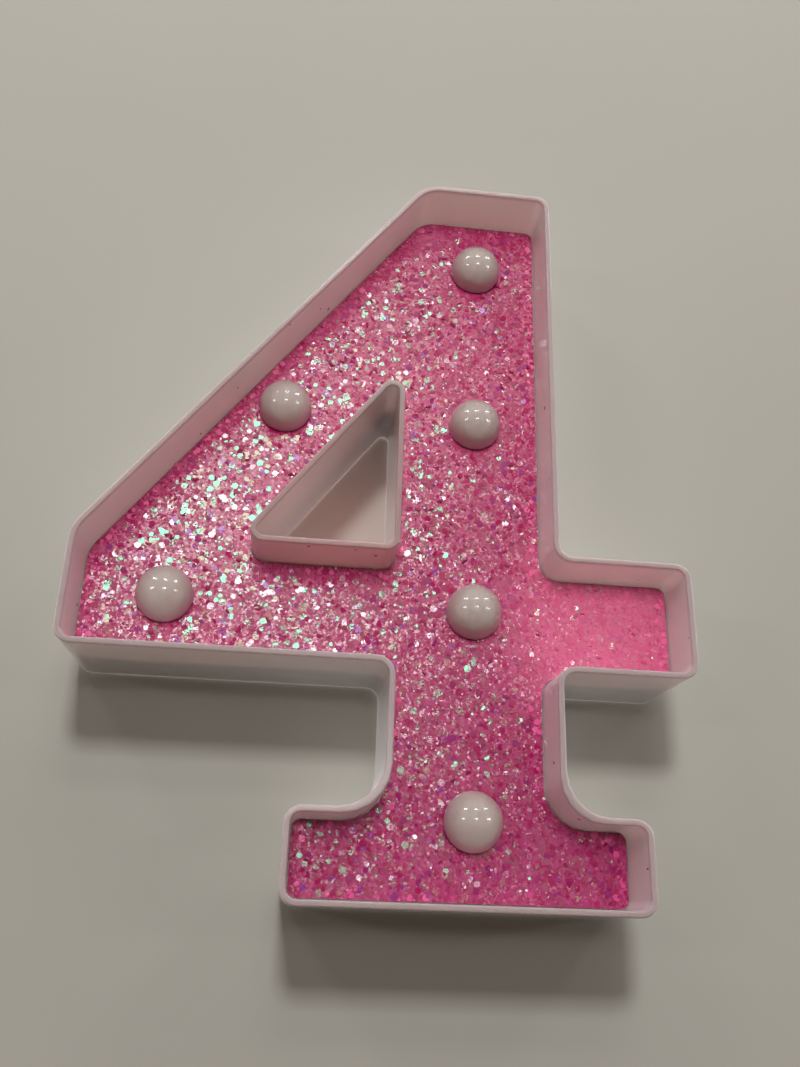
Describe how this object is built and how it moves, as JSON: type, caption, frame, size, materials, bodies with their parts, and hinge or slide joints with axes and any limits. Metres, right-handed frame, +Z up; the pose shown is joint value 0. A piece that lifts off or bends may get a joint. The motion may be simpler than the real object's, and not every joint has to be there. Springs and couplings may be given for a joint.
{
  "type": "light-up marquee number",
  "caption": "White channel numeral four with a glitter-lined face, round milky bulbs, a hinged battery door, a slide switch and a keyhole on the back.",
  "frame": {"origin": "middle of the bottom of the bounding box, under the base", "axes": "+Z up, +X to the viewer's right, the open front faces -Y"},
  "size_m": [0.1724, 0.035, 0.22],
  "materials": {
    "white_plastic": "smooth white moulded plastic",
    "glitter": "chunky iridescent glitter",
    "milky_plastic": "milky translucent plastic",
    "clear_resin": "clear moulded resin",
    "red_insulation": "soft wire insulation",
    "black_insulation": "soft wire insulation",
    "black_plastic": "moulded",
    "steel": "plated",
    "cell_jacket": "printed film, left plain"
  },
  "bodies": {
    "number": {"front_housing": "white_plastic", "glitter_sheet": "glitter", "bulb_cap_1": "milky_plastic", "bulb_cap_2": "milky_plastic", "bulb_cap_3": "milky_plastic", "bulb_cap_4": "milky_plastic", "bulb_cap_5": "milky_plastic", "bulb_cap_6": "milky_plastic", "led_1": "clear_resin", "led_2": "clear_resin", "led_3": "clear_resin", "led_4": "clear_resin", "led_5": "clear_resin", "led_6": "clear_resin", "anode_bus": "red_insulation", "cathode_bus": "black_insulation", "positive_lead": "red_insulation", "negative_lead": "black_insulation", "switch_lead": "black_insulation", "battery_cell_1": "cell_jacket", "battery_cell_2": "cell_jacket", "positive_contact": "steel", "negative_contact": "steel", "bridge_contact": "steel", "bridge_spring": "steel", "negative_spring": "steel", "switch_frame": "steel", "switch_base": "black_plastic", "switch_terminal_1": "steel", "switch_terminal_2": "steel", "switch_terminal_3": "steel", "switch_screw_1": "steel", "switch_screw_2": "steel", "back_cover": "white_plastic", "cover_screw_1": "steel", "cover_screw_2": "steel", "cover_screw_3": "steel", "cover_screw_4": "steel", "cover_screw_5": "steel", "cover_screw_6": "steel", "cover_screw_7": "steel", "cover_screw_8": "steel"},
    "door": {"battery_door": "white_plastic"},
    "knob": {"switch_knob": "black_plastic"}
  },
  "joints": [
    {"name": "door_hinge", "type": "hinge", "parent": "number", "child": "door", "pos_m": [0.0412, 0.0164, 0.16683], "axis": [0, 0, -1], "range_deg": [0, 95]},
    {"name": "switch_slide", "type": "slide", "parent": "number", "child": "knob", "axis": [1, 0, 0], "range_m": [0, 0.003]}
  ]
}
